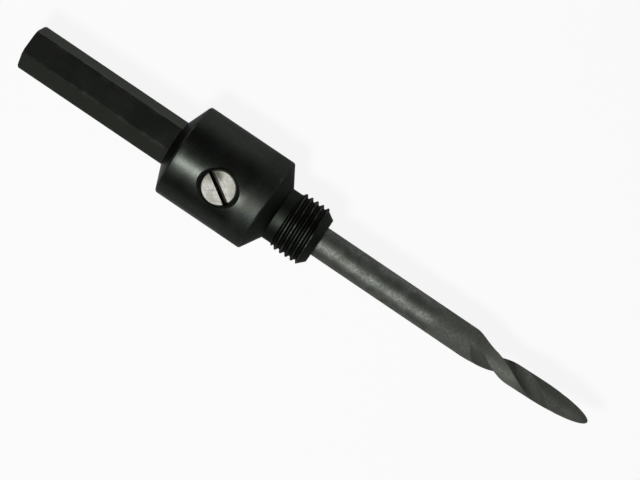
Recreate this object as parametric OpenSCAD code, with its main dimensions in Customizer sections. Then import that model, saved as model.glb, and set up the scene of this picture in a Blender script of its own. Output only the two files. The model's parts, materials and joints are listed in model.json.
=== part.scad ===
// Hole saw arbor: a one-piece steel body with a hex shank and a threaded nose, a pilot drill in its bore, and
// the set screw that clamps the drill.
// The tool's axis is +X towards the drill's point. Z is up, and the arbor lies on its collar.
// The origin is on the axis where the nose thread begins. All sizes are in millimetres.

/* [Shank] */
// Width of the hex shank across its flats
shank_flats = 8.6; // [7:0.1:10]
// Length of the hex shank, from its end to the cone behind the collar
shank_len = 34.3; // [25:0.1:60]
// Angle from +Z towards +Y to which a flat of the shank is turned
shank_clock = 24; // [0:1:60]
// Length of the bevel round the shank's end
shank_bevel = 0.4; // [0.3:0.1:1.5]

/* [Collar] */
// Diameter of the collar
collar_d = 20; // [17:0.1:26]
// Length of the collar between its two cones
collar_len = 19.7; // [14:0.1:30]
// Length of the cone behind the collar
back_cone_len = 2; // [1:0.1:4]
// Width of the flat ring between the shank's corners and the cone behind the collar
back_ring = 0.15; // [0.05:0.05:0.5]
// Length of the cone in front of the collar
front_cone_len = 2.6; // [1:0.1:4]
// Radius that rounds the collar's two edges
collar_edge_r = 0.5; // [0.2:0.1:0.8]

/* [Nose] */
// Diameter of the relief neck behind the nose thread
neck_d = 11.4; // [10.4:0.1:12]
// Length of the relief neck
neck_len = 2.2; // [1:0.1:4]
// Outside diameter of the nose thread
thread_d = 12.7; // [12.3:0.05:13.5]
// Length of the nose thread, up to its end bevel
thread_len = 6.2; // [4:0.1:12]
// Length of the end bevel, which is turned at 45 degrees
thread_bevel = 1.5; // [0.5:0.1:2]

/* [Pilot drill] */
// Diameter of the drill's plain shank
pilot_d = 6.35; // [5.5:0.05:6.6]
// Length of the drill from its inner end to its point
pilot_len = 95.2; // [70:0.1:120]
// Gap between the drill and the wall of its bore
pilot_clear = 0.04; // [0.02:0.01:0.08]
// How far the bore runs on past the middle of the set screw
bore_past_screw = 10.6; // [6:0.05:14]
// Gap between the drill's inner end and the bottom of its bore
bore_end_gap = 0.5; // [0.1:0.1:2]
// Length of the bevel at the bore's mouth
bore_bevel = 0.4; // [0.2:0.1:0.8]
// Length of the bevel at the drill's inner end
pilot_bevel = 0.5; // [0.2:0.1:1]

/* [Fluted point] */
// Length of the drill's fluted end, from where the flutes start to the point
fluted_len = 28.1; // [24:0.1:34]
// Width of the fluted end at its widest
leaf_d = 4.6; // [4.2:0.1:5.4]
// Length over which the shank thins down to the width of the fluted end
leaf_blend = 5.6; // [4:0.1:12]
// Length of the rounded point
point_len = 12.3; // [8:0.1:15]
// Length in which a flute makes one turn
flute_pitch = 28; // [22:0.5:45]
// Direction of the first flute at the waist, as an angle round the axis from +Y towards +Z
flute_clock = -17; // [-45:1:45]
// Distance from the start of the flutes to the waist, where the flutes face sideways
waist_run = 7.2; // [5:0.1:9]
// Radius of the scoop that forms a flute
scoop_r = 3.2; // [2.2:0.1:4]
// Thickness of the web between the two flutes
web = 2.3; // [1.6:0.1:3]
// Length in which a flute runs in to its full depth
run_in = 4.9; // [4:0.1:10]
// Length in which a flute runs out before the point
run_out = 6; // [3:0.1:8]
// Length of the unfluted end of the point
plain_point = 6; // [2:0.1:7]
// How far the fluted end is ground off the drill's axis
leaf_off = 0.5; // [0:0.05:0.6]

/* [Set screw] */
// Outside diameter of the set screw's thread
screw_d = 7.94; // [7:0.02:8.5]
// Distance from the collar's back edge to the middle of the set screw
screw_place = 10.5; // [8.5:0.1:12]
// Gap between the set screw and the wall of its hole
screw_clear = 0.05; // [0.02:0.01:0.08]
// Gap between the set screw's cup and the drill
seat_gap = 0.02; // [0.01:0.01:0.05]
// How deep the screw's flat end lies below the crown of the collar
screw_recess = 0.7; // [0.7:0.1:1.2]
// Length of the bevel round the screw's slotted end
screw_bevel = 0.6; // [0.2:0.01:0.8]
// Diameter of the screw's cup point
cup_d = 5; // [4:0.1:5.6]
// Width of the screw's slot
slot_w = 1.1; // [0.8:0.1:1.6]
// Depth of the screw's slot
slot_depth = 1.6; // [1:0.1:2.2]
// Angle from +X towards -Y to which the slot is turned
slot_angle = 34; // [0:1:90]
// Width of the countersink round the screw's hole
sink_w = 0.45; // [0.2:0.05:0.7]

/* [Hidden] */

drill_point_angle = 118; // the full angle of the bore's bottom and of the screw's cup
round_steps = 6; // faces round a turned edge
overlap = 0.5; // how far one form reaches into the next that it is joined to
smooth = 96; // faces round a preview of a turned form
join_step = 0.01; // how much slimmer the fluted end starts than the shank that it is joined to
flute_steps = 14; // faces across a flute
land_steps = 10; // faces across a land
least_edge = 5; // half the angle that a flute's points keep where there is no flute
leaf_rings = 40; // sections along the fluted end, up to the rounded point
point_rings = 16; // sections along the rounded point
section_count = 2 * (flute_steps + land_steps);

shank_corner_r = shank_flats / 2 / cos(30);
collar_r = collar_d / 2;
neck_r = neck_d / 2;
thread_r = thread_d / 2;
pilot_r = pilot_d / 2;
bore_r = pilot_r + pilot_clear;
back_cone_r = shank_corner_r + back_ring;

nose_face_x = thread_len + thread_bevel;
front_cone_x = -neck_len - front_cone_len;
collar_back_x = front_cone_x - collar_len;
back_cone_x = collar_back_x - back_cone_len;
shank_end_x = back_cone_x - shank_len;
screw_x = collar_back_x + screw_place;

bore_end_x = screw_x - bore_past_screw;
pilot_end_x = bore_end_x + bore_end_gap;
point_x = pilot_end_x + pilot_len;
flute_x = point_x - fluted_len;
round_point_x = point_x - point_len;
waist_x = flute_x + waist_run;

// Turns a form that was drawn along +Z on to the tool's axis
module along_axis() {
    rotate([0, 90, 0]) children();
}

// Places a form that was drawn along +Z in the set screw's hole, from the tool's axis outwards
module in_screw_hole() {
    translate([screw_x, 0, 0]) children();
}

// Points of a rounded corner between two straight runs, given as radius and place along the axis
function corner(before, at, after, r) =
    let (
        back = (before - at) / norm(before - at),
        on = (after - at) / norm(after - at),
        half = acos(back * on) / 2,
        middle = at + (back + on) / norm(back + on) * r / sin(half),
        first = at + back * r / tan(half) - middle,
        last = at + on * r / tan(half) - middle
    )
    [for (i = [0 : round_steps])
        let (aim = first * (1 - i / round_steps) + last * i / round_steps)
        middle + aim / norm(aim) * r];

// The turned part of the body: back cone, collar, front cone, relief neck and nose
module turned_body() {
    back_end = [back_cone_r, back_cone_x];
    back_edge = [collar_r, collar_back_x];
    front_edge = [collar_r, front_cone_x];
    front_end = [neck_r, -neck_len];
    along_axis()
        rotate_extrude($fn = smooth)
            polygon(concat(
                [[0, back_cone_x], back_end],
                corner(back_end, back_edge, front_edge, collar_edge_r),
                corner(back_edge, front_edge, front_end, collar_edge_r),
                [
                    front_end,
                    [neck_r, 0],
                    [thread_r, 0],
                    [thread_r, thread_len],
                    [thread_r - thread_bevel, nose_face_x],
                    [0, nose_face_x]
                ]
            ));
}

// A stretch of the shank's hexagon
module hex_bar(start, length) {
    translate([start, 0, 0])
        rotate([-shank_clock, 0, 0])
            along_axis()
                rotate([0, 0, 30])
                    cylinder(r = shank_corner_r, h = length, $fn = 6);
}

// The hex shank, with the corners at its end turned off to part of a ball that is widest at ball_at
module hex_shank() {
    end_r = shank_corner_r - shank_bevel;
    ball_at = (shank_corner_r * shank_corner_r - end_r * end_r + shank_bevel * shank_bevel) / 2 / shank_bevel;
    ball_r = norm([end_r, ball_at]);
    intersection() {
        hex_bar(shank_end_x, ball_at);
        translate([shank_end_x + ball_at, 0, 0]) sphere(r = ball_r, $fn = smooth);
    }
    hex_bar(shank_end_x + ball_at, shank_len - ball_at + overlap);
}

// The blind bore that takes the pilot drill
module pilot_bore() {
    along_axis()
        rotate_extrude($fn = smooth)
            polygon([
                [0, bore_end_x - bore_r / tan(drill_point_angle / 2)],
                [bore_r, bore_end_x],
                [bore_r, nose_face_x - bore_bevel],
                [bore_r + bore_bevel + overlap, nose_face_x + overlap],
                [0, nose_face_x + overlap]
            ]);
}

// The tapped hole for the set screw, from the tool's axis out through the collar
module screw_hole() {
    hole_r = screw_d / 2 + screw_clear;
    in_screw_hole()
        rotate_extrude($fn = smooth)
            polygon([
                [0, 0],
                [hole_r, 0],
                [hole_r, collar_r - sink_w],
                [hole_r + sink_w + overlap, collar_r + overlap],
                [0, collar_r + overlap]
            ]);
}

module arbor_body() {
    color([0.10, 0.115, 0.11])
        difference() {
            union() {
                turned_body();
                hex_shank();
            }
            pilot_bore();
            screw_hole();
        }
}

// A share that eases from 0 to 1 as a place goes from the start of a run to its end
function ease(place, start, run) =
    let (t = max(0, min(1, (place - start) / run)))
    t * t * (3 - 2 * t);

// Radius of the fluted end's lands at a place along the axis
function land_r(x) =
    x > round_point_x
        ? leaf_d / 2 * sqrt(max(0, 1 - pow((x - round_point_x) / point_len, 2)))
        : let (start_r = pilot_r - join_step)
          start_r + (leaf_d / 2 - start_r) * ease(x, flute_x, leaf_blend);

// How deep a flute is at a place along the axis, from 0 for none to 1 for down to the web
function flute_depth(x) =
    ease(x, flute_x, run_in)
    * (1 - ease(x, point_x - plain_point - run_out, run_out));

// Direction of the first flute at a place along the axis
function flute_turn(x) = flute_clock + 360 * (x - waist_x) / flute_pitch;

// How far the fluted end's middle lies off the axis
function off_axis(x) =
    leaf_off * ease(x, flute_x, leaf_blend) * min(1, (point_x - x) / (point_x - waist_x));

// A point of the fluted end, at a radius and an angle from the middle of its section
function section_point(x, r, angle) = [x, r * cos(angle) - off_axis(x), r * sin(angle)];

// One half of a section: a flute and the land after it
function half_section(x, side) =
    let (
        r = land_r(x),
        floor_r = r + (min(web / 2, r) - r) * flute_depth(x),
        scoop_at = floor_r + scoop_r,
        reach = (r * r + scoop_at * scoop_at - scoop_r * scoop_r) / (2 * r * scoop_at),
        edge = max(least_edge, acos(min(1, reach))),
        turn = flute_turn(x) + 180 * side
    )
    concat(
        [for (i = [0 : flute_steps - 1])
            let (
                a = edge * (2 * i / flute_steps - 1),
                inside = scoop_r * scoop_r - pow(scoop_at * sin(a), 2),
                cut_r = inside > 0 ? scoop_at * cos(a) - sqrt(inside) : r
            )
            section_point(x, min(r, cut_r), turn + a)],
        [for (i = [0 : land_steps - 1])
            section_point(x, r, turn + edge + (180 - 2 * edge) * i / land_steps)]
    );

// The twisted, fluted end of the drill, as one closed skin over its sections
module fluted_end() {
    places = concat(
        [flute_x - overlap],
        [for (i = [0 : leaf_rings - 1]) flute_x + (round_point_x - flute_x) * i / leaf_rings],
        [for (i = [0 : point_rings - 1]) round_point_x + point_len * sin(90 * i / point_rings)]
    );
    skin = [for (x = places, side = [0, 1]) each half_section(x, side)];
    last = (len(places) - 1) * section_count;
    polyhedron(
        points = concat(skin, [[point_x, 0, 0]]),
        faces = concat(
            [[for (j = [0 : section_count - 1]) j]],
            [for (i = [0 : len(places) - 2], j = [0 : section_count - 1])
                let (k = (j + 1) % section_count, a = i * section_count, b = a + section_count)
                each [[a + j, b + j, b + k], [a + j, b + k, a + k]]],
            [for (j = [0 : section_count - 1])
                [last + j, len(skin), last + (j + 1) % section_count]]
        ),
        convexity = 6
    );
}

module pilot_drill() {
    color([0.44, 0.44, 0.42])
        union() {
            along_axis()
                rotate_extrude($fn = smooth)
                    polygon([
                        [0, pilot_end_x],
                        [pilot_r - pilot_bevel, pilot_end_x],
                        [pilot_r, pilot_end_x + pilot_bevel],
                        [pilot_r, flute_x],
                        [0, flute_x]
                    ]);
            fluted_end();
        }
}

module set_screw() {
    screw_r = screw_d / 2;
    cup_r = cup_d / 2;
    tip = pilot_r + seat_gap;
    top = collar_r - screw_recess;
    color([0.75, 0.75, 0.72])
        in_screw_hole()
            difference() {
                rotate_extrude($fn = smooth)
                    polygon([
                        [0, tip + cup_r / tan(drill_point_angle / 2)],
                        [cup_r, tip],
                        [screw_r, tip + screw_r - cup_r],
                        [screw_r, top - screw_bevel],
                        [screw_r - screw_bevel, top],
                        [0, top]
                    ]);
                rotate([0, 0, -slot_angle])
                    translate([-screw_d, -slot_w / 2, top - slot_depth])
                        cube([2 * screw_d, slot_w, slot_depth + overlap]);
            }
}

arbor_body();
pilot_drill();
set_screw();
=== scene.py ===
"""Looks of the hole saw arbor: black body with its threaded nose, ground pilot drill and bright set screw."""
import json
import math

import bmesh
import bpy
import numpy as np
from mathutils import Matrix, Vector


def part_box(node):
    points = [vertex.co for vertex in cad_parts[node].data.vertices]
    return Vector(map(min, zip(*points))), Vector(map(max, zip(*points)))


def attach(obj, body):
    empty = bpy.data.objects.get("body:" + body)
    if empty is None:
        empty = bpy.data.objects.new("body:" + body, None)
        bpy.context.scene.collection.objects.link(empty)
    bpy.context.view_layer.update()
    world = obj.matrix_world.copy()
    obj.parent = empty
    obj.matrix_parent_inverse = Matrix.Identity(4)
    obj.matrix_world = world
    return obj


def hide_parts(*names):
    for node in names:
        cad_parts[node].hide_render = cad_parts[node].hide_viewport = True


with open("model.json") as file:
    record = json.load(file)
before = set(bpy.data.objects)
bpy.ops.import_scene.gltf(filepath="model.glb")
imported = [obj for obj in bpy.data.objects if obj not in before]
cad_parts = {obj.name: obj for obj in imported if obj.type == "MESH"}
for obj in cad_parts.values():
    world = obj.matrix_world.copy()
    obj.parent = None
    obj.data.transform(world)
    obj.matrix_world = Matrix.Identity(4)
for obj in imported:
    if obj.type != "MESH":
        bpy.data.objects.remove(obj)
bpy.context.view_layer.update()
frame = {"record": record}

MM = 0.001
COS_30 = math.cos(math.radians(30))

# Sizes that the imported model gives
MOUNTS = {mount["name"]: mount for mount in frame["record"]["mounts"]}
body_low, body_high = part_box("arbor_body")
pilot_low, pilot_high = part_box("pilot_drill")
screw_low, screw_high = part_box("set_screw")
COLLAR_R = body_high.y
SHANK_END = body_low.x
NOSE_FACE = body_high.x
THREAD_R = MOUNTS["nose_thread"]["dims"]["r_mm"] * MM
THREAD_LEN = MOUNTS["nose_thread"]["dims"]["length_mm"] * MM
FLAT_AXIS = Vector(MOUNTS["shank_flat_a"]["axis"])
FLAT_R = Vector(MOUNTS["shank_flat_a"]["pos_m"]).dot(FLAT_AXIS)
FLAT_ANGLE = math.degrees(math.atan2(FLAT_AXIS.z, FLAT_AXIS.y))
SHANK_CORNER_R = FLAT_R / COS_30
PILOT_R = pilot_high.z
PILOT_END = pilot_low.x
POINT = pilot_high.x
SCREW_X = (screw_low.x + screw_high.x) / 2
SCREW_R = (screw_high.x - screw_low.x) / 2
SCREW_TIP = screw_low.z
SCREW_TOP = screw_high.z

# Sizes of the body, as in the part's source apart from the shank's bevel, the small edges and the thread
NECK_R = 5.7 * MM
NECK_LEN = 2.2 * MM
FRONT_CONE_LEN = 2.6 * MM
COLLAR_LEN = 19.7 * MM
BACK_CONE_LEN = 2 * MM
BACK_RING = 0.15 * MM
FRONT_CONE = -NECK_LEN - FRONT_CONE_LEN
COLLAR_BACK = FRONT_CONE - COLLAR_LEN
SHANK_BEVEL = 0.35 * MM
COLLAR_EDGE = 0.5 * MM
SMALL_EDGE = 0.12 * MM
SHANK_CORNER_EDGE = 0.1 * MM
BORE_R = PILOT_R + 0.04 * MM
BORE_END = PILOT_END - 0.5 * MM
BORE_BEVEL = 0.4 * MM
DRILL_POINT_HALF_ANGLE = math.radians(59)
NOSE_PITCH = 25.4 / 20 * MM
NOSE_THREAD_DEPTH = 0.6 * MM
NOSE_CREST = 0.1
NOSE_ROOT = 0.06
NO_FLARE = 1.0

# Sizes of the set screw and its hole
SCREW_PITCH = 25.4 / 18 * MM
SCREW_THREAD_DEPTH = 0.55 * MM
SCREW_CREST = 0.1
SCREW_ROOT = 0.06
SCREW_BEVEL = 0.6 * MM
SCREW_CLEAR = 0.05 * MM
CUP_R = 2.5 * MM
SLOT_W = 1.1 * MM
SLOT_DEPTH = 1.6 * MM
SLOT_ANGLE = math.radians(-34)
SLOT_FLOOR_EDGE = 0.2 * MM
SLOT_TOOL_HEIGHT = 4 * MM
SINK_W = 0.45 * MM
HOLE_PAST_COLLAR = 1 * MM

# Sizes of the drill's fluted end
FLUTE_START = POINT - 28.1 * MM
WAIST = FLUTE_START + 7.2 * MM
ROUND_POINT = POINT - 12.3 * MM
LEAF_R = 2.3 * MM
LEAF_BLEND = 5.6 * MM
FLUTE_PITCH = 28 * MM
FLUTE_CLOCK = math.radians(-17)
SCOOP_R = 3.2 * MM
WEB = 2.3 * MM
RUN_IN = 4.9 * MM
RUN_OUT = 6 * MM
PLAIN_POINT = 6 * MM
LEAF_OFF = 0.5 * MM
PILOT_BEVEL = 0.5 * MM
LEAST_FLUTE_EDGE = math.radians(5)

# Fineness of the meshes
FILLET_STEP = 15
NOSE_TURN_RINGS = 38
COLLAR_STEP = 0.8 * MM
BORE_STEP = 2 * MM
SHANK_BEVEL_RINGS = 18
SHANK_RINGS = 12
CORNER_COLUMNS = 9
FLAT_COLUMNS = 24
SCREW_TURN_RINGS = 26
SCREW_COLUMNS = 128
DRILL_STEP = 3 * MM
LEAF_RINGS = 90
POINT_RINGS = 40
FLUTE_COLUMNS = 28
LAND_COLUMNS = 26
FLUTE_SHARE = FLUTE_COLUMNS / (FLUTE_COLUMNS + LAND_COLUMNS)
LAND_MIDDLE = (1 + FLUTE_SHARE) / 2
HALF_LAND = (1 - FLUTE_SHARE) / 2
SHARP_EDGE = math.radians(35)

# Reach of the finish's marks, and of the painted light and shade
EDGE_WEAR = 0.4 * MM
CREST_WEAR = 0.15 * MM
MATT_START = -10.5 * MM
MATT_RUN = 3 * MM
DULL_BEFORE = 10 * MM
DULL_RUN = 3.5 * MM
# Where the painted highlight on the lands ends, and how long it takes to fade
LAND_HIGHLIGHT_END = 59 * MM
LAND_HIGHLIGHT_FADE = 6 * MM
# Softness of the flutes' painted shade at their edges, and width of the painted highlight along the edges
FLUTE_EDGE_BLUR = 0.02
FLUTE_EDGE_LINE = 0.03
# Where the darker patch on the screw's face sits, off its middle towards -X and +Y, and its size
DARK_PATCH_BEHIND = 2.1 * MM
DARK_PATCH_ASIDE = 2 * MM
DARK_PATCH_CORE = 0.4 * MM
DARK_PATCH_FADE = 2.2 * MM

# Colours of the black oxide
OXIDE = (0.030, 0.034, 0.029)
OXIDE_CLOUD = (0.042, 0.045, 0.039)
OXIDE_TINT = (0.033, 0.038, 0.036)
OXIDE_SPECK = (0.07, 0.075, 0.062)
SHANK_OXIDE = (0.058, 0.063, 0.052)
# Painted shade: the nose drawn darker, standing for the shade in the thread's grooves
NOSE_SHADE = (0.013, 0.016, 0.013)
WORN_OXIDE = (0.3, 0.3, 0.28)
OXIDE_RIM = (0.52, 0.52, 0.52, 1)

# Colours of the ground steel
STEEL = (0.118, 0.128, 0.112)
STEEL_CLOUD = (0.178, 0.188, 0.172)
STEEL_SPECK = (0.08, 0.087, 0.073)
DULL_STEEL = (0.2, 0.21, 0.185)
# Painted highlight on the waist's lands, painted shade on the lands past the waist and in the flutes, and a
# painted highlight along the flute edges
WAIST_LAND_HIGHLIGHT = (0.29, 0.3, 0.27)
LEAF_LAND_SHADE = (0.085, 0.092, 0.078)
FLUTE_SHADE = (0.07, 0.078, 0.062)
FLUTE_EDGE_HIGHLIGHT = (0.4, 0.41, 0.38)
STEEL_RIM = (0.65, 0.65, 0.65, 1)

# Colours of the bright plating
PLATE = (0.4, 0.4, 0.36)
PLATE_CLOUD = (0.6, 0.6, 0.56)
PLATE_SCRATCH = (0.25, 0.25, 0.22)
# A darker patch on the screw's face, off its middle towards -X and +Y
PLATE_DARK_PATCH = (0.08, 0.08, 0.06)
# Painted shade in the slot and round the rim, which also stands for dirt on the thread
PLATE_SHADE_AND_DIRT = (0.02, 0.021, 0.012)

# The photograph's view
PICTURE_SLOPE = math.radians(34.07)
AXIS_TILT = math.radians(0.5)
VIEW_CLOCK = math.radians(15)
PICTURE_WIDTH = 640
PX_PER_M = 5090
CAMERA_DISTANCE = 0.36
CAMERA_TARGET = Vector((7.64 * MM, 0.26 * MM, 0))
SENSOR_WIDTH = 36

# The light
LAMP_TURN = math.radians(26.5)
LAMP_X = -20 * MM
LAMP_DISTANCE = 0.3
LAMP_SIZE = 0.05
LAMP_POWER = 0.7
WORLD_LIGHT = 0.1
FLOOR_GLOW = 0.9
REFLECTED_GLOW = 0.35

# The floor, in metres and degrees
FLOOR_COLOUR = (0.75, 0.75, 0.75, 1)
FLOOR_MIDDLE_R = 0.2
FLOOR_FLAT_R = 1.5
FLOOR_RIM_R = 1
FLOOR_RIM_STEP = 6
FLOOR_RIM_END = 60
FLOOR_COLUMN_STEP = 7.5


class Field:
    """A number that varies over a mesh, worked out by Math nodes and written with ordinary sums."""

    def __init__(self, tree, socket):
        self.tree = tree
        self.socket = socket

    def math(self, operation, *others):
        node = self.tree.nodes.new("ShaderNodeMath")
        node.operation = operation
        for socket, value in zip(node.inputs, (self, *others)):
            if isinstance(value, Field):
                self.tree.links.new(value.socket, socket)
            else:
                socket.default_value = value
        return Field(self.tree, node.outputs[0])

    def __add__(self, other):
        return self.math("ADD", other)

    def __sub__(self, other):
        return self.math("SUBTRACT", other)

    def __mul__(self, other):
        return self.math("MULTIPLY", other)

    def __truediv__(self, other):
        return self.math("DIVIDE", other)

    def less(self, other):
        return self.math("MINIMUM", other)

    def more(self, other):
        return self.math("MAXIMUM", other)

    def mix(self, other, share):
        """This number where share is 0, and the other where it is 1."""
        return self + (other - self) * share

    def ease(self, start, run):
        """From 0 at start to 1 at the end of the run, with smooth ends."""
        t = ((self - start) / run).more(0).less(1)
        return t * t * (t * -2 + 3)


class Tree:
    """A Geometry Nodes tree that moves the points of the mesh it is given."""

    def __init__(self, name, sizes):
        self.group = bpy.data.node_groups.new(name, "GeometryNodeTree")
        face = self.group.interface
        face.new_socket("Geometry", in_out="INPUT", socket_type="NodeSocketGeometry")
        face.new_socket("Geometry", in_out="OUTPUT", socket_type="NodeSocketGeometry")
        for label in sizes:
            face.new_socket(label, in_out="INPUT", socket_type="NodeSocketFloat")
        face.new_socket("Material", in_out="INPUT", socket_type="NodeSocketMaterial")
        self.start = self.group.nodes.new("NodeGroupInput")
        self.end = self.group.nodes.new("NodeGroupOutput")

    def size(self, label):
        return Field(self.group, self.start.outputs[label])

    def point(self):
        """The three coordinates of each point."""
        position = self.group.nodes.new("GeometryNodeInputPosition")
        split = self.group.nodes.new("ShaderNodeSeparateXYZ")
        self.group.links.new(position.outputs[0], split.inputs[0])
        return [Field(self.group, out) for out in split.outputs]

    def attribute(self, name):
        node = self.group.nodes.new("GeometryNodeInputNamedAttribute")
        node.data_type = "FLOAT"
        node.inputs["Name"].default_value = name
        return Field(self.group, node.outputs["Attribute"])

    def move_to(self, x, y, z):
        """Puts each point at the place given, and ends the tree."""
        links = self.group.links
        join = self.group.nodes.new("ShaderNodeCombineXYZ")
        for socket, value in zip(join.inputs, (x, y, z)):
            links.new(value.socket, socket)
        move = self.group.nodes.new("GeometryNodeSetPosition")
        real = self.group.nodes.new("GeometryNodeRealizeInstances")
        paint = self.group.nodes.new("GeometryNodeSetMaterial")
        links.new(self.start.outputs["Geometry"], move.inputs["Geometry"])
        links.new(join.outputs[0], move.inputs["Position"])
        links.new(move.outputs[0], real.inputs[0])
        links.new(real.outputs[0], paint.inputs["Geometry"])
        links.new(self.start.outputs["Material"], paint.inputs["Material"])
        links.new(paint.outputs[0], self.end.inputs[0])
        return self.group


def thread_tree():
    """Cuts a right-hand thread into a form turned about X, up to where the form flares at 45 degrees."""
    tree = Tree("cut_thread", ["Major Radius", "Depth", "Pitch", "Start", "Flare", "Crest", "Root"])
    x, y, z = tree.point()
    radius = (y * y + z * z).math("SQRT")
    angle = z.math("ARCTAN2", y)
    phase = (x / tree.size("Pitch") - angle / (2 * math.pi)).math("FRACT")
    from_crest = (phase * 2 - 1).math("ABSOLUTE")
    crest, root = tree.size("Crest"), tree.size("Root")
    groove = from_crest.ease(crest, (root + crest) * -1 + 1)
    major = tree.size("Major Radius")
    wall = (major - tree.size("Depth") * groove).more(major + (x - tree.size("Flare")))
    past_start = x.math("GREATER_THAN", tree.size("Start"))
    share = radius.mix(radius.less(wall), past_start) / radius.more(1e-9)
    return tree.move_to(x, y * share, z * share)


def flute_tree():
    """Grinds two twisted flutes into a blank turned about X, from the share of a turn at each point."""
    tree = Tree("grind_flutes", [
        "Start", "Run In", "Point", "Plain Point", "Run Out", "Waist", "Clock", "Pitch", "Web",
        "Scoop Radius", "Off Axis", "Off Axis Run", "Flute Share", "Least Edge"])
    x, y, z = tree.point()
    radius = (y * y + z * z).math("SQRT")
    start, point, scoop = tree.size("Start"), tree.size("Point"), tree.size("Scoop Radius")
    ended = x.ease(point - tree.size("Plain Point") - tree.size("Run Out"), tree.size("Run Out"))
    depth = x.ease(start, tree.size("Run In")) * (ended * -1 + 1)
    floor = radius.mix((tree.size("Web") / 2).less(radius), depth)
    scoop_at = floor + scoop
    reach = (radius * radius + scoop_at * scoop_at - scoop * scoop) / (radius * scoop_at * 2)
    edge = reach.less(1).math("ARCCOSINE").more(tree.size("Least Edge"))
    halves = tree.attribute("turn_share") * 2
    side = halves.math("FLOOR")
    along = halves - side
    flute_share = tree.size("Flute Share")
    across_flute = edge * (along / flute_share * 2 - 1)
    across_land = edge + (edge * -2 + math.pi) * (along - flute_share) / (flute_share * -1 + 1)
    on_land = along.math("GREATER_THAN", flute_share)
    sweep = across_flute.mix(across_land, on_land)
    offset = scoop_at * sweep.math("SINE")
    inside = (scoop * scoop - offset * offset).more(0)
    cut = scoop_at * sweep.math("COSINE") - inside.math("SQRT")
    ground = radius.less(cut).mix(radius, on_land)
    twist = (x.more(start) - tree.size("Waist")) / tree.size("Pitch") * (2 * math.pi)
    angle = tree.size("Clock") + side * math.pi + twist + sweep
    fade = ((point - x) / (point - tree.size("Waist"))).less(1)
    off = tree.size("Off Axis") * x.ease(start, tree.size("Off Axis Run")) * fade
    return tree.move_to(x, ground * angle.math("COSINE") - off, ground * angle.math("SINE"))


def plain_mesh(piece):
    """The piece with its modifiers made part of its mesh."""
    evaluated = piece.evaluated_get(bpy.context.evaluated_depsgraph_get())
    done = bpy.data.meshes.new_from_object(evaluated)
    piece.modifiers.clear()
    old = piece.data
    piece.data = done
    bpy.data.meshes.remove(old)
    return piece


def through_tree(piece, group, sizes, material):
    """The piece as the tree leaves it, as a plain mesh."""
    modifier = piece.modifiers.new("work", "NODES")
    modifier.node_group = group
    sockets = {item.name: item.identifier for item in group.interface.items_tree if item.in_out == "INPUT"}
    for label, value in sizes.items():
        modifier[sockets[label]] = value
    modifier[sockets["Material"]] = material
    return plain_mesh(piece)


def rounded(corners):
    """A turned outline from its corners, each a place, a radius and the radius that rounds it."""
    outline = []
    for i, (x, r, fillet) in enumerate(corners):
        at = np.array((x, r))
        if fillet == 0:
            outline.append(at)
            continue
        back = np.array(corners[i - 1][:2]) - at
        on = np.array(corners[i + 1][:2]) - at
        back /= np.linalg.norm(back)
        on /= np.linalg.norm(on)
        half = math.acos(float(np.clip(back @ on, -1, 1))) / 2
        middle_way = (back + on) / np.linalg.norm(back + on)
        middle = at + middle_way * fillet / math.sin(half)
        first = at + back * fillet / math.tan(half) - middle
        last = at + on * fillet / math.tan(half) - middle
        steps = max(3, round(math.degrees(math.pi - 2 * half) / FILLET_STEP))
        for step in range(steps + 1):
            aim = first + (last - first) * step / steps
            outline.append(middle + aim / np.linalg.norm(aim) * fillet)
    return outline


def filled(outline, start, end, step):
    """The same outline with points added between two places, no further apart than the step."""
    dense = [outline[0]]
    for before, after in zip(outline, outline[1:]):
        inside = min(before[0], after[0]) < end and max(before[0], after[0]) > start
        pieces = max(1, math.ceil(abs(after[0] - before[0]) / step)) if inside else 1
        dense += [before + (after - before) * k / pieces for k in range(1, pieces + 1)]
    return dense


def skin(name, rings, column_values=None):
    """A closed mesh over rings of points, with one point at each end, and named values for its columns."""
    first, last = rings[0], rings[-1]
    middle = rings[1:-1]
    columns = len(middle[0])
    points = np.vstack([[first], *middle, [last]])
    mesh = bpy.data.meshes.new(name)
    faces = []
    for j in range(columns):
        k = (j + 1) % columns
        faces.append((0, 1 + k, 1 + j))
        for i in range(len(middle) - 1):
            a, b = 1 + i * columns, 1 + (i + 1) * columns
            faces.append((a + j, a + k, b + k, b + j))
        end = 1 + (len(middle) - 1) * columns
        faces.append((end + j, end + k, len(points) - 1))
    mesh.from_pydata(points.tolist(), [], faces)
    for label, values in (column_values or {}).items():
        store = mesh.attributes.new(label, "FLOAT", "POINT")
        store.data.foreach_set("value", np.concatenate([[0], np.tile(values, len(middle)), [0]]))
    piece = bpy.data.objects.new(name, mesh)
    bpy.context.scene.collection.objects.link(piece)
    return piece


def circle(x, r, angles):
    """A ring of points round the X axis."""
    return np.column_stack([np.full(len(angles), x), r * np.cos(angles), r * np.sin(angles)])


def turned(name, outline, angles):
    """A turned form from an outline that starts and ends on the axis."""
    rings = [(outline[0][0], 0, 0)]
    rings += [circle(x, r, angles) for x, r in outline[1:-1]]
    return skin(name, rings + [(outline[-1][0], 0, 0)])


def hexagon_radius(angles):
    """Radius of the shank's section, with its corners rounded, at each angle from a flat's middle."""
    from_flat = (np.degrees(angles) - FLAT_ANGLE + 30) % 60 - 30
    flat = FLAT_R / np.cos(np.radians(from_flat))
    from_corner = np.radians(30 - np.abs(from_flat))
    centre = (FLAT_R - SHANK_CORNER_EDGE) / COS_30
    inside = SHANK_CORNER_EDGE ** 2 - (centre * np.sin(from_corner)) ** 2
    arc = centre * np.cos(from_corner) + np.sqrt(np.maximum(inside, 0))
    return np.where(inside > 0, np.minimum(flat, arc), flat)


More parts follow.
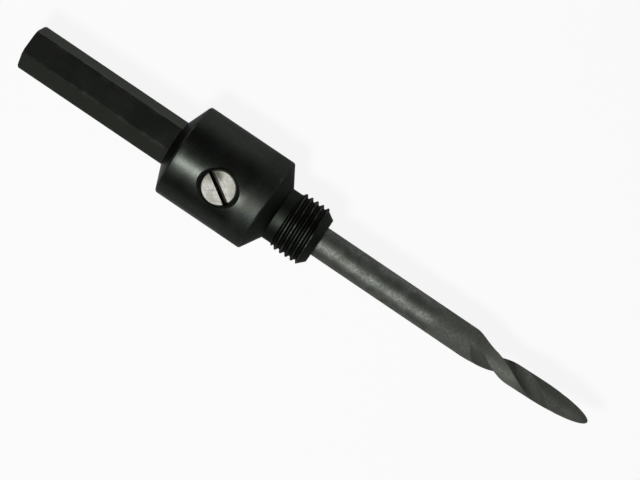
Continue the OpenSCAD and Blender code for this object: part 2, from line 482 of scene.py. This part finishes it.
def body_angles():
    """Angles of the body's columns, closer together at the corners of its hex shank."""
    near = np.linspace(-3, 3, CORNER_COLUMNS)
    far = np.linspace(3, 57, FLAT_COLUMNS)[1:-1]
    sector = np.concatenate([near, far])
    corners = FLAT_ANGLE + 30 + 60 * np.arange(6)
    return np.radians(np.concatenate([corner + sector for corner in corners]))


def shank_rings(angles, back_cone):
    """Rings of the hex shank, from the middle of its end face to the collar's back cone."""
    section = hexagon_radius(angles)
    end_r = SHANK_CORNER_R - SHANK_BEVEL
    ball_at = (SHANK_CORNER_R ** 2 - end_r ** 2 + SHANK_BEVEL ** 2) / 2 / SHANK_BEVEL
    ball_r = math.hypot(end_r, ball_at)
    rings = [(SHANK_END, 0, 0)]
    rings += [circle(SHANK_END, np.minimum(section, end_r) * share, angles) for share in (0.4, 0.8)]
    for place in np.linspace(0, 1.3, SHANK_BEVEL_RINGS) * SHANK_BEVEL:
        crown = math.sqrt(ball_r ** 2 - (ball_at - place) ** 2)
        turn = math.asin(max(0, 1 - place / SMALL_EDGE))
        round_off = SMALL_EDGE * (1 - math.cos(turn))
        rings.append(circle(SHANK_END + place, np.minimum(section, crown) - round_off, angles))
    places = np.linspace(SHANK_END + 2 * SHANK_BEVEL, back_cone, SHANK_RINGS)
    return rings + [circle(x, section, angles) for x in places]


def arbor_body(cut_thread, material):
    """The body as one closed skin: shank, collar, neck, threaded nose and the bore for the drill."""
    back_cone = COLLAR_BACK - BACK_CONE_LEN
    back_cone_r = SHANK_CORNER_R + BACK_RING
    bevel_r = THREAD_R - (NOSE_FACE - THREAD_LEN)
    outline = rounded([
        (back_cone, back_cone_r, 0),
        (COLLAR_BACK, COLLAR_R, COLLAR_EDGE),
        (FRONT_CONE, COLLAR_R, COLLAR_EDGE),
        (-NECK_LEN, NECK_R, SMALL_EDGE),
        (-SMALL_EDGE, NECK_R, SMALL_EDGE),
        (SMALL_EDGE * 3, THREAD_R, SMALL_EDGE),
        (THREAD_LEN, THREAD_R, SMALL_EDGE),
        (NOSE_FACE, bevel_r, SMALL_EDGE),
        (NOSE_FACE, BORE_R + BORE_BEVEL, SMALL_EDGE),
        (NOSE_FACE - BORE_BEVEL, BORE_R, SMALL_EDGE),
        (BORE_END, BORE_R, 0),
    ])
    face_start = next(i for i, (x, r) in enumerate(outline) if x > NOSE_FACE - SMALL_EDGE)
    outer = filled(outline[:face_start], -SMALL_EDGE, NOSE_FACE, NOSE_PITCH / NOSE_TURN_RINGS)
    outer = filled(outer, COLLAR_BACK, FRONT_CONE, COLLAR_STEP)
    inner = filled(outline[face_start:], BORE_END, 0, BORE_STEP)
    angles = body_angles()
    rings = shank_rings(angles, back_cone)
    rings += [circle(x, r, angles) for x, r in outer + inner]
    rings.append((BORE_END - BORE_R / math.tan(DRILL_POINT_HALF_ANGLE), 0, 0))
    body = skin("body_skin", rings)
    return through_tree(body, cut_thread, {
        "Major Radius": THREAD_R,
        "Depth": NOSE_THREAD_DEPTH,
        "Pitch": NOSE_PITCH,
        "Start": -SMALL_EDGE,
        "Flare": NO_FLARE,
        "Crest": NOSE_CREST,
        "Root": NOSE_ROOT,
    }, material)


def screw_blank(name, top, clearance, cut_thread, material):
    """A threaded form along X: the set screw, or with a clearance and a longer top, the shape of its hole."""
    major = SCREW_R + clearance
    hole = clearance > 0
    cup_depth = CUP_R / math.tan(DRILL_POINT_HALF_ANGLE)
    if hole:
        outline = rounded([
            (0, 0, 0),
            (0, major, 0),
            (COLLAR_R - SINK_W, major, SMALL_EDGE),
            (top, major + SINK_W + top - COLLAR_R, 0),
            (top, 0, 0),
        ])
    else:
        outline = rounded([
            (SCREW_TIP + cup_depth, 0, 0),
            (SCREW_TIP, CUP_R, SMALL_EDGE),
            (SCREW_TIP + SCREW_R - CUP_R, SCREW_R, SMALL_EDGE),
            (top - SCREW_BEVEL, SCREW_R, SMALL_EDGE),
            (top, SCREW_R - SCREW_BEVEL, SMALL_EDGE),
            (top, 0, 0),
        ])
    outline = filled(outline, SCREW_TIP, COLLAR_R, SCREW_PITCH / SCREW_TURN_RINGS)
    angles = np.linspace(0, 2 * math.pi, SCREW_COLUMNS, endpoint=False)
    blank = turned(name, outline, angles)
    return through_tree(blank, cut_thread, {
        "Major Radius": major,
        "Depth": SCREW_THREAD_DEPTH,
        "Pitch": SCREW_PITCH,
        "Start": 0.0,
        "Flare": COLLAR_R - SINK_W if hole else NO_FLARE,
        "Crest": SCREW_CREST,
        "Root": SCREW_ROOT,
    }, material)


def stand_in_hole(piece):
    """Turns a form made along X to stand along the set screw's hole, in its mesh."""
    turn = Matrix.Rotation(-math.pi / 2, 4, "Y")
    piece.data.transform(Matrix.Translation((SCREW_X, 0, 0)) @ turn)
    return piece


def cut_away(piece, cutter):
    """Takes the cutter out of the piece, and deletes it."""
    modifier = piece.modifiers.new("cut", "BOOLEAN")
    modifier.operation = "DIFFERENCE"
    modifier.solver = "EXACT"
    modifier.object = cutter
    bpy.context.view_layer.update()
    plain_mesh(piece)
    bpy.data.objects.remove(cutter)
    return piece


def slot_cutter():
    """The tool that mills the screw's slot, with a rounded floor."""
    cutter_mesh = bpy.data.meshes.new("slot_tool")
    cutter = bpy.data.objects.new("slot_tool", cutter_mesh)
    bpy.context.scene.collection.objects.link(cutter)
    shape = bmesh.new()
    bmesh.ops.create_cube(shape, size=1)
    floor = SCREW_TOP - SLOT_DEPTH
    for vertex in shape.verts:
        vertex.co.x *= 4 * SCREW_R
        vertex.co.y *= SLOT_W
        vertex.co.z = floor + (vertex.co.z + 0.5) * SLOT_TOOL_HEIGHT
    low = [edge for edge in shape.edges if all(vertex.co.z < floor + SMALL_EDGE for vertex in edge.verts)]
    low = [edge for edge in low if abs(edge.verts[0].co.x - edge.verts[1].co.x) > SCREW_R]
    bmesh.ops.bevel(shape, geom=low, offset=SLOT_FLOOR_EDGE, segments=4, affect="EDGES", profile=0.5)
    shape.to_mesh(cutter_mesh)
    shape.free()
    cutter_mesh.transform(Matrix.Translation((SCREW_X, 0, 0)) @ Matrix.Rotation(SLOT_ANGLE, 4, "Z"))
    return cutter


def pilot_blank_outline():
    """The drill's turned blank: shank, taper to the leaf's width and rounded point."""
    outline = rounded([
        (PILOT_END, 0, 0),
        (PILOT_END, PILOT_R - PILOT_BEVEL, SMALL_EDGE),
        (PILOT_END + PILOT_BEVEL, PILOT_R, SMALL_EDGE),
        (FLUTE_START, PILOT_R, 0),
    ])
    outline = filled(outline, PILOT_END + PILOT_BEVEL, FLUTE_START, DRILL_STEP)
    for x in np.linspace(FLUTE_START, ROUND_POINT, LEAF_RINGS)[1:]:
        t = min(1, (x - FLUTE_START) / LEAF_BLEND)
        outline.append(np.array((x, PILOT_R + (LEAF_R - PILOT_R) * t * t * (3 - 2 * t))))
    for turn in np.radians(np.linspace(0, 90, POINT_RINGS))[1:]:
        x = ROUND_POINT + (POINT - ROUND_POINT) * math.sin(turn)
        outline.append(np.array((x, LEAF_R * math.cos(turn))))
    return outline


def pilot_drill(grind_flutes, material):
    """The pilot drill: a turned blank with two twisted flutes ground into its end."""
    count = 2 * (FLUTE_COLUMNS + LAND_COLUMNS)
    outline = pilot_blank_outline()
    angles = np.linspace(0, 2 * math.pi, count, endpoint=False)
    rings = [(outline[0][0], 0, 0)] + [circle(x, r, angles) for x, r in outline[1:-1]]
    turn_share = np.arange(count) / count
    from_land = np.abs((2 * turn_share - LAND_MIDDLE + 0.5) % 1 - 0.5)
    rings.append((POINT, 0, 0))
    drill = skin("pilot_skin", rings, {"turn_share": turn_share, "from_land": from_land})
    return through_tree(drill, grind_flutes, {
        "Start": FLUTE_START,
        "Run In": RUN_IN,
        "Point": POINT,
        "Plain Point": PLAIN_POINT,
        "Run Out": RUN_OUT,
        "Waist": WAIST,
        "Clock": FLUTE_CLOCK,
        "Pitch": FLUTE_PITCH,
        "Web": WEB,
        "Scoop Radius": SCOOP_R,
        "Off Axis": LEAF_OFF,
        "Off Axis Run": LEAF_BLEND,
        "Flute Share": FLUTE_SHARE,
        "Least Edge": LEAST_FLUTE_EDGE,
    }, material)


def smooth_shaded(piece):
    """Shades the piece smooth, apart from its sharp edges."""
    piece.data.shade_smooth()
    piece.data.set_sharp_from_angle(angle=SHARP_EDGE)
    return piece


class Finish:
    """The material of one piece, with the places and patterns that its colour and gloss come from."""

    def __init__(self, name):
        self.material = bpy.data.materials.new(name)
        self.material.use_nodes = True
        self.tree = self.material.node_tree
        self.shader = self.tree.nodes["Principled BSDF"]
        self.place = self.tree.nodes.new("ShaderNodeTexCoord").outputs["Object"]
        split = self.tree.nodes.new("ShaderNodeSeparateXYZ")
        self.tree.links.new(self.place, split.inputs[0])
        self.x, self.y, self.z = [Field(self.tree, out) for out in split.outputs]
        self.radius = (self.y * self.y + self.z * self.z).math("SQRT")

    def pattern(self, per_metre, detail=3, turn=(0, 0, 0)):
        """Noise from 0 to 1, with so many features in a metre along each axis, after it is turned."""
        mapping = self.tree.nodes.new("ShaderNodeMapping")
        mapping.inputs["Rotation"].default_value = turn
        noise = self.tree.nodes.new("ShaderNodeTexNoise")
        noise.inputs["Scale"].default_value = 1
        noise.inputs["Detail"].default_value = detail
        stretch = self.tree.nodes.new("ShaderNodeVectorMath")
        stretch.operation = "MULTIPLY"
        stretch.inputs[1].default_value = per_metre
        self.tree.links.new(self.place, mapping.inputs["Vector"])
        self.tree.links.new(mapping.outputs[0], stretch.inputs[0])
        self.tree.links.new(stretch.outputs[0], noise.inputs["Vector"])
        return Field(self.tree, noise.outputs["Fac"])

    def attribute(self, name):
        """A number that the piece's mesh keeps for each of its points."""
        node = self.tree.nodes.new("ShaderNodeAttribute")
        node.attribute_name = name
        return Field(self.tree, node.outputs["Fac"])

    def patches(self, per_metre, detail=4):
        return self.pattern((per_metre, per_metre, per_metre), detail)

    def near(self, value, middle, reach):
        """1 where the value is at the middle, falling to 0 at the reach from it."""
        return ((value - middle).math("ABSOLUTE") / -reach + 1).more(0)

    def blend(self, under, over, share):
        """One colour laid over another in the share given. Each is a colour or an earlier blend."""
        mix = self.tree.nodes.new("ShaderNodeMix")
        mix.data_type = "RGBA"
        for socket, colour in ((mix.inputs["A"], under), (mix.inputs["B"], over)):
            if isinstance(colour, tuple):
                socket.default_value = (*colour, 1)
            else:
                self.tree.links.new(colour, socket)
        self.tree.links.new(share.socket, mix.inputs["Factor"])
        return mix.outputs["Result"]

    def set(self, label, value):
        """Gives the shader a number or colour, set on its own socket where it is the same all over."""
        socket = self.shader.inputs[label]
        if isinstance(value, Field):
            self.tree.links.new(value.socket, socket)
        elif isinstance(value, bpy.types.NodeSocket):
            self.tree.links.new(value, socket)
        else:
            socket.default_value = value

    def relief(self, height, depth):
        """Raises the surface by the field, from 0 to 1, times the depth in metres."""
        bump = self.tree.nodes.new("ShaderNodeBump")
        bump.inputs["Distance"].default_value = depth
        self.tree.links.new(height.socket, bump.inputs["Height"])
        self.tree.links.new(bump.outputs[0], self.shader.inputs["Normal"])


def black_oxide():
    """Oiled black oxide over turned and milled steel, a little worn along the edges and thread crests, with
    painted shade darkening the nose.
    """
    finish = Finish("black_oxide")
    on_shank = finish.x.math("LESS_THAN", COLLAR_BACK - BACK_CONE_LEN)
    on_nose = finish.x.ease(FRONT_CONE - 0.3 * MM, 0.6 * MM)
    clouds = finish.patches(190).ease(0.36, 0.28)
    tint = finish.patches(320).ease(0.4, 0.2)
    specks = finish.patches(2300).ease(0.5, 0.2)
    turning = finish.pattern((6500, 120, 120), 2)
    milling = finish.pattern((90, 3200, 3200), 2)
    lines = turning.mix(milling, on_shank)

    at_back, at_front = [finish.near(finish.x, edge, EDGE_WEAR) for edge in (COLLAR_BACK, FRONT_CONE)]
    collar_wear = at_back.more(at_front) * ((finish.radius - COLLAR_R) / EDGE_WEAR + 1).more(0)
    corner_wear = ((finish.radius - SHANK_CORNER_R) / EDGE_WEAR + 1.1).more(0) * on_shank
    on_thread = finish.x.math("GREATER_THAN", -SMALL_EDGE)
    crest_wear = ((finish.radius - THREAD_R) / CREST_WEAR + 1).more(0) * on_thread
    rub = finish.patches(500).ease(0.42, 0.25)
    wear = (collar_wear * 0.25 + corner_wear * 0.12 + crest_wear * 0.2) * rub

    colour = finish.blend(OXIDE, OXIDE_CLOUD, clouds)
    colour = finish.blend(colour, OXIDE_TINT, tint * 0.6)
    colour = finish.blend(colour, OXIDE_SPECK, specks * 0.25)
    colour = finish.blend(colour, SHANK_OXIDE, on_shank * 0.6)
    # Painted shade: the nose, from the front cone on, drawn darker for the shade in the thread's grooves
    colour = finish.blend(colour, NOSE_SHADE, on_nose * 0.65)
    colour = finish.blend(colour, WORN_OXIDE, wear)
    finish.set("Base Color", colour)
    finish.set("Metallic", 1.0)
    finish.set("Specular Tint", OXIDE_RIM)
    matt = finish.x.ease(MATT_START, MATT_RUN)
    finish.set("Roughness", lines * 0.1 + clouds * 0.05 + matt * 0.15 + 0.29)
    finish.relief(lines, 0.004 * MM)
    return finish.material


def ground_steel():
    """Ground high-speed steel, mottled, with a duller blasted look from the flutes on, a painted highlight on
    the waist's lands and along the flute edges, and painted shade in the flutes and on the lands past the
    waist.
    """
    finish = Finish("ground_steel")
    clouds = finish.patches(420).ease(0.35, 0.3)
    fine = finish.patches(1900).ease(0.4, 0.22)
    grinding = finish.pattern((5200, 260, 260), 2)
    flute_marks = finish.pattern((1400, 1400, 1400), 2)
    dull = finish.x.ease(FLUTE_START - DULL_BEFORE, DULL_RUN)
    from_land = finish.attribute("from_land")
    on_flute = from_land.ease(HALF_LAND - FLUTE_EDGE_BLUR, FLUTE_EDGE_BLUR)
    at_edge = finish.near(from_land, HALF_LAND, FLUTE_EDGE_LINE)
    ground_in = finish.x.ease(FLUTE_START + 1 * MM, RUN_IN)
    ground_in *= (finish.x * -1).ease(PLAIN_POINT / 2 - POINT, RUN_OUT)
    past_waist = finish.x.ease(LAND_HIGHLIGHT_END - LAND_HIGHLIGHT_FADE, LAND_HIGHLIGHT_FADE)
    land = (on_flute * -1 + 1) * ground_in
    colour = finish.blend(STEEL, STEEL_CLOUD, clouds)
    colour = finish.blend(colour, STEEL_SPECK, fine * 0.35)
    colour = finish.blend(colour, DULL_STEEL, dull * 0.6)
    # Painted highlight on the waist's lands, painted shade on the lands past it and in the flutes, and a
    # painted highlight along the flute edges
    colour = finish.blend(colour, WAIST_LAND_HIGHLIGHT, land * (past_waist * -1 + 1) * 0.6)
    colour = finish.blend(colour, LEAF_LAND_SHADE, land * past_waist * 0.4)
    colour = finish.blend(colour, FLUTE_SHADE, on_flute * ground_in * 0.45)
    colour = finish.blend(colour, FLUTE_EDGE_HIGHLIGHT, at_edge * ground_in * 0.12)
    finish.set("Base Color", colour)
    finish.set("Metallic", 1.0)
    finish.set("Specular Tint", STEEL_RIM)
    finish.set("Roughness", grinding * 0.12 + fine * 0.06 + dull * 0.22 + 0.52)
    finish.relief(grinding.mix(flute_marks, dull), 0.006 * MM)
    return finish.material


def bright_plate():
    """Bright plating, scratched across its face, with painted shade in the slot and round the rim, dirt on
    the thread, and a darker patch on one side of its face.
    """
    finish = Finish("bright_plate")
    across_x = finish.x - SCREW_X
    from_middle = (across_x * across_x + finish.y * finish.y).math("SQRT")
    clouds = finish.patches(500).ease(0.35, 0.3)
    smears = finish.patches(330, 5).ease(0.5, 0.16)
    scratches = None
    for turn in (0.5, 1.4, 2.6):
        lines = finish.pattern((260, 9000, 260), 1, (0, 0, turn)).ease(0.6, 0.12)
        scratches = lines if scratches is None else scratches.more(lines)
    # Painted shade: the rim of the face and everything sunk below the face, slot included, drawn dark and
    # less metallic; on the thread the same darkening also stands for dirt
    rim = from_middle.ease(SCREW_R - SCREW_BEVEL - 0.15 * MM, 0.3 * MM)
    sunk = (finish.z * -1).ease(-SCREW_TOP + 0.03 * MM, 0.15 * MM)
    # A darker patch on the face, centred off the middle towards -X and +Y
    patch_x, patch_y = across_x + DARK_PATCH_BEHIND, finish.y - DARK_PATCH_ASIDE
    from_patch = (patch_x * patch_x + patch_y * patch_y).math("SQRT")
    dark_patch = from_patch.ease(DARK_PATCH_CORE, DARK_PATCH_FADE) * -1 + 1
    shade_and_dirt = rim.more(sunk)
    colour = finish.blend(PLATE, PLATE_CLOUD, clouds)
    colour = finish.blend(colour, PLATE_SCRATCH, (scratches * 0.4).more(smears * 0.35))
    colour = finish.blend(colour, PLATE_DARK_PATCH, dark_patch * 0.85)
    colour = finish.blend(colour, PLATE_SHADE_AND_DIRT, shade_and_dirt)
    finish.set("Base Color", colour)
    finish.set("Metallic", shade_and_dirt * -0.6 + 1)
    finish.set("Roughness", clouds * 0.08 + scratches * 0.1 + 0.64)
    finish.relief(scratches, -0.006 * MM)
    return finish.material


def floor_material():
    """White to the camera apart from a faint shadow, dimmer in reflections, and pale to all other light."""
    material = bpy.data.materials.new("white_floor")
    material.use_nodes = True
    tree = material.node_tree
    nodes, links = tree.nodes, tree.links
    matt = nodes["Principled BSDF"]
    matt.inputs["Base Color"].default_value = FLOOR_COLOUR
    matt.inputs["Roughness"].default_value = 1
    matt.inputs["Specular IOR Level"].default_value = 0
    glow = nodes.new("ShaderNodeEmission")
    path = nodes.new("ShaderNodeLightPath")
    rays = [Field(tree, path.outputs[f"Is {kind} Ray"]) for kind in ("Camera", "Glossy", "Transmission")]
    camera, glossy, through = rays
    share = (camera * FLOOR_GLOW).more(glossy.more(through) * REFLECTED_GLOW)
    blend = nodes.new("ShaderNodeMixShader")
    links.new(share.socket, blend.inputs[0])
    links.new(matt.outputs[0], blend.inputs[1])
    links.new(glow.outputs[0], blend.inputs[2])
    links.new(blend.outputs[0], nodes["Material Output"].inputs["Surface"])
    return material


def make_floor():
    """A round floor that the collar rests on, curved up at its far edge."""
    outline = [(FLOOR_MIDDLE_R, 0), (FLOOR_FLAT_R, 0)]
    for turn in np.radians(np.arange(FLOOR_RIM_STEP, FLOOR_RIM_END + 1, FLOOR_RIM_STEP)):
        rim = FLOOR_RIM_R * math.sin(turn), FLOOR_RIM_R * (1 - math.cos(turn))
        outline.append((FLOOR_FLAT_R + rim[0], rim[1]))
    mesh = bpy.data.meshes.new("floor")
    around = np.radians(np.arange(0, 360, FLOOR_COLUMN_STEP))
    points = [(0, 0, -COLLAR_R)]
    faces = []
    for r, rise in outline:
        points += [(r * math.cos(turn), r * math.sin(turn), rise - COLLAR_R) for turn in around]
    count = len(around)
    for j in range(count):
        k = (j + 1) % count
        faces.append((0, 1 + j, 1 + k))
        for i in range(len(outline) - 1):
            a, b = 1 + i * count, 1 + (i + 1) * count
            faces.append((a + j, b + j, b + k, a + k))
    mesh.from_pydata(points, [], faces)
    mesh.shade_smooth()
    floor = bpy.data.objects.new("floor", mesh)
    floor.data.materials.append(floor_material())
    bpy.context.scene.collection.objects.link(floor)


def view_axes():
    """The camera's right, up and back directions, from how the tool lies in the picture."""
    tool = Vector((1, 0, 0))
    facing = Vector((0, math.sin(VIEW_CLOCK), math.cos(VIEW_CLOCK)))
    back = facing * math.cos(AXIS_TILT) + tool * math.sin(AXIS_TILT)
    along = (tool - back * tool.dot(back)).normalized()
    across = back.cross(along)
    right = along * math.cos(PICTURE_SLOPE) + across * math.sin(PICTURE_SLOPE)
    return right, back.cross(right), back


def make_camera():
    right, up, back = view_axes()
    data = bpy.data.cameras.new("camera")
    camera = bpy.data.objects.new("camera", data)
    bpy.context.scene.collection.objects.link(camera)
    data.sensor_width = SENSOR_WIDTH
    data.lens = PX_PER_M * CAMERA_DISTANCE * data.sensor_width / PICTURE_WIDTH
    data.clip_start = 0.01
    data.clip_end = 10
    turn = Matrix((right, up, back)).transposed().to_4x4()
    camera.matrix_world = Matrix.Translation(CAMERA_TARGET + back * CAMERA_DISTANCE) @ turn
    bpy.context.scene.camera = camera


def make_lights():
    """One soft lamp, turned from the camera towards the picture's lower left, and a dim even world."""
    right, up, back = view_axes()
    lower_left = -(up * math.cos(PICTURE_SLOPE) + right * math.sin(PICTURE_SLOPE))
    towards = back * math.cos(LAMP_TURN) + lower_left * math.sin(LAMP_TURN)
    data = bpy.data.lights.new("key", "AREA")
    data.size = LAMP_SIZE
    data.energy = LAMP_POWER
    lamp = bpy.data.objects.new("key", data)
    bpy.context.scene.collection.objects.link(lamp)
    lamp.location = Vector((LAMP_X, 0, 0)) + towards * LAMP_DISTANCE
    lamp.rotation_mode = "QUATERNION"
    lamp.rotation_quaternion = towards.to_track_quat("Z", "Y")
    lamp.visible_camera = False
    world = bpy.data.worlds.new("studio")
    bpy.context.scene.world = world
    world.use_nodes = True
    world.node_tree.nodes["Background"].inputs["Color"].default_value = (1, 1, 1, 1)
    world.node_tree.nodes["Background"].inputs["Strength"].default_value = WORLD_LIGHT


def main():
    oxide, steel, plate = black_oxide(), ground_steel(), bright_plate()

    cut_thread = thread_tree()
    body = arbor_body(cut_thread, oxide)
    hole_top = COLLAR_R + HOLE_PAST_COLLAR
    hole = screw_blank("screw_hole", hole_top, SCREW_CLEAR, cut_thread, oxide)
    cut_away(body, stand_in_hole(hole))
    smooth_shaded(body)
    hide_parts("arbor_body")
    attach(body, "arbor")

    drill = smooth_shaded(pilot_drill(flute_tree(), steel))
    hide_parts("pilot_drill")
    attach(drill, "pilot")

    screw = stand_in_hole(screw_blank("screw_skin", SCREW_TOP, 0, cut_thread, plate))
    smooth_shaded(cut_away(screw, slot_cutter()))
    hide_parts("set_screw")
    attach(screw, "screw")

    make_floor()
    make_camera()
    make_lights()
    bpy.context.scene.view_settings.view_transform = "Standard"


main()
